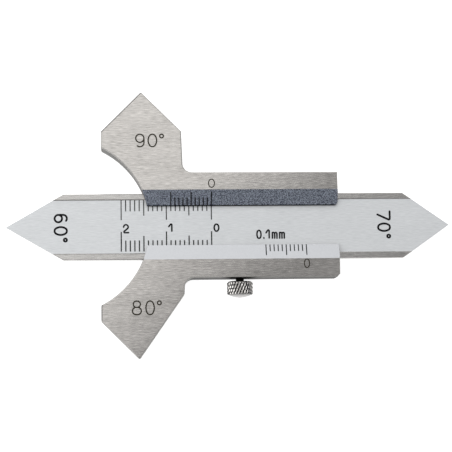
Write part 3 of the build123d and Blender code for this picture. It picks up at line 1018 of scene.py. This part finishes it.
def two(width, height, nib):
    radius = width / 2
    to_centre = math.hypot(radius, height - radius)
    lean = math.degrees(math.atan2(height - radius, radius) - math.asin(radius / to_centre))
    run = math.sqrt(to_centre**2 - radius**2)
    corner = (nib / 2, 180 - lean)
    moves = [(radius, lean - 270), run - nib / 2, corner, width - nib / 2]
    return stroke((0, height - radius), 90, moves, nib)


def point(width, height, nib):
    return stroke((0, 0), 90, [nib / 4], nib)


def letter_m(width, height, nib):
    x_height = X_HEIGHT * height
    radius = width / 4
    strokes = [stroke((0, 0), 90, [x_height], nib)]
    for left in (0, width / 2):
        arch = [(radius, -180), x_height - radius]
        strokes.append(stroke((left, x_height - radius), 90, arch, nib))
    return unite(strokes)


trial = letter_m(1.0, 1.8, 0.3)
print("an m has", len(trial.data.polygons), "faces")
bpy.data.objects.remove(trial)

# %% [markdown]
# A row of figures is given as the maker's drawing gives it: the figure, where it starts along the
# row and how wide it is, measured over its strokes. The row then goes to its foot line on the
# metal, turned where the gauge's points are read from the side. Figures at equal steps would be
# simpler, but an engraver spaces them by eye.

# %% Engrave the points' angles
PROUD = 0.012                          # how far a figure stands above the metal
POINT_NIB = 0.44
FROM_THE_SIDE = -90                    # degrees
BEAM_WORK = {"face": SCALE_Z, "material": scale_black, "body": "beam"}


def engrave(name, figures, height, nib, foot, face, material, body, turn=0.0):
    """A row of figures over its strokes: each is a stencil, its start and its width."""
    drawn = []
    for stencil, start, width in figures:
        figure = stencil(width - nib, height - nib, nib)
        settle(figure, Matrix.Translation((start + nib / 2, nib / 2, 0)))
        drawn.append(figure)
    at = Matrix.Translation((*foot, face + PROUD - COAT / 2))
    hand_over(drawn, name, material, body, at @ Matrix.Rotation(math.radians(turn), 4, "Z"))


sixty = [(six, -2.97, 2.08), (zero, -0.27, 2.20), (degree, 2.29, 1.10)]
engrave("sixty_degree_figures", sixty, height=3.14, nib=POINT_NIB, foot=(-34.88, 0),
        turn=FROM_THE_SIDE, **BEAM_WORK)
seventy = [(seven, -3.31, 2.06), (zero, -0.60, 2.14), (degree, 1.93, 1.10)]
engrave("seventy_degree_figures", seventy, height=3.10, nib=POINT_NIB, foot=(37.06, 0),
        turn=FROM_THE_SIDE, **BEAM_WORK)

# %% Engrave the scale's figures and the reading
SCALE_NIB = 0.36

centimetres = [(two, -19.64, 1.36), (one, -9.65, 0.70), (zero, 0.41, 1.38)]
engrave("centimetre_figures", centimetres, height=1.92, nib=SCALE_NIB, foot=(0, -1.28), **BEAM_WORK)
reading = [(zero, 0.0, 1.28), (point, 1.55, 0.3), (one, 2.05, 0.72)]
reading += [(letter_m, 3.45, 1.38), (letter_m, 5.08, 1.38)]
engrave("reading_label", reading, height=2.1, nib=SCALE_NIB, foot=(9.9, -2.93), **BEAM_WORK)

# %% Etch the slider's figures
JAW_NIB = 0.30
VERNIER_NIB = 0.23
SLIDER_WORK = {"face": FRONT_Z, "material": etched_brown, "body": "slider"}

ninety = [(nine, -16.82, 2.12), (zero, -14.08, 2.19), (degree, -11.51, 1.12)]
engrave("ninety_degree_figures", ninety, height=3.10, nib=JAW_NIB, foot=(0, 17.45), **SLIDER_WORK)
eighty = [(eight, -17.77, 2.24), (zero, -14.83, 2.14), (degree, -12.29, 1.12)]
engrave("eighty_degree_figures", eighty, height=3.26, nib=JAW_NIB, foot=(0, -19.69), **SLIDER_WORK)
engrave("upper_vernier_zero", [(zero, -0.77, 1.57)], height=2.06, nib=VERNIER_NIB, foot=(0, 8.35),
        **SLIDER_WORK)
engrave("lower_vernier_zero", [(zero, 20.23, 1.39)], height=2.10, nib=VERNIER_NIB, foot=(0, -9.61),
        **SLIDER_WORK)

# %% [markdown]
# The table. The photograph shows the gauge on plain white, with nothing under it. A white world
# would do for the background, but it would change the light and take no shadow. So a white sheet
# lies under the gauge, and its glow is added only for rays from the camera, from a mirroring face
# or through glass. It looks white there, and still catches the gauge's soft shadow.

# %% Lay the table
TABLE_SIZE = 3000.0
TABLE_GAP = 0.02                       # below the gauge's back, so that the two faces don't coincide
TABLE_WHITE = (0.9, 0.9, 0.9, 1.0)
GLOW_WHITE = (1.0, 1.0, 1.0, 1.0)
TABLE_GLOW = 0.85
PAPER_GRAIN = (2.0, 2.0, 2.0)
PAPER_ROUGHNESS = (0.85, 0.95)

nothing_selected()
bpy.ops.mesh.primitive_plane_add(size=TABLE_SIZE * MM, location=(0, 0, -TABLE_GAP * MM))
table = bpy.context.object
table.name = "table"
white = Finish("white_table")
rays = white.add("ShaderNodeLightPath").outputs
mirrored = white.either(rays["Is Glossy Ray"], rays["Is Transmission Ray"])
seen = white.either(rays["Is Camera Ray"], mirrored)
white.finish(TABLE_WHITE, white.remap(white.grain(PAPER_GRAIN), *WIDE_SPAN, *PAPER_ROUGHNESS))
white.feed(white.shader.inputs["Emission Color"], GLOW_WHITE)
white.feed(white.shader.inputs["Emission Strength"], white.maths("MULTIPLY", seen, TABLE_GLOW))
table.data.materials.append(white.material)
table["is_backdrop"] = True
print("the table is", TABLE_SIZE * MM, "m wide")

# %% [markdown]
# Last, the size of the dressed gauge is compared with the size of the solids. Lacquer and figures
# add only a coat of a hundredth of a millimetre to the front, so the two must be nearly the same.

# %% Compare the sizes
visual_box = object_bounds()
sizes = {
    "cad": [list(corner) for corner in cad_box],
    "visual": [list(corner) for corner in visual_box],
}
for name, (low, high) in sizes.items():
    print(name, [round((b - a) / MM, 2) for a, b in zip(low, high)], "mm")
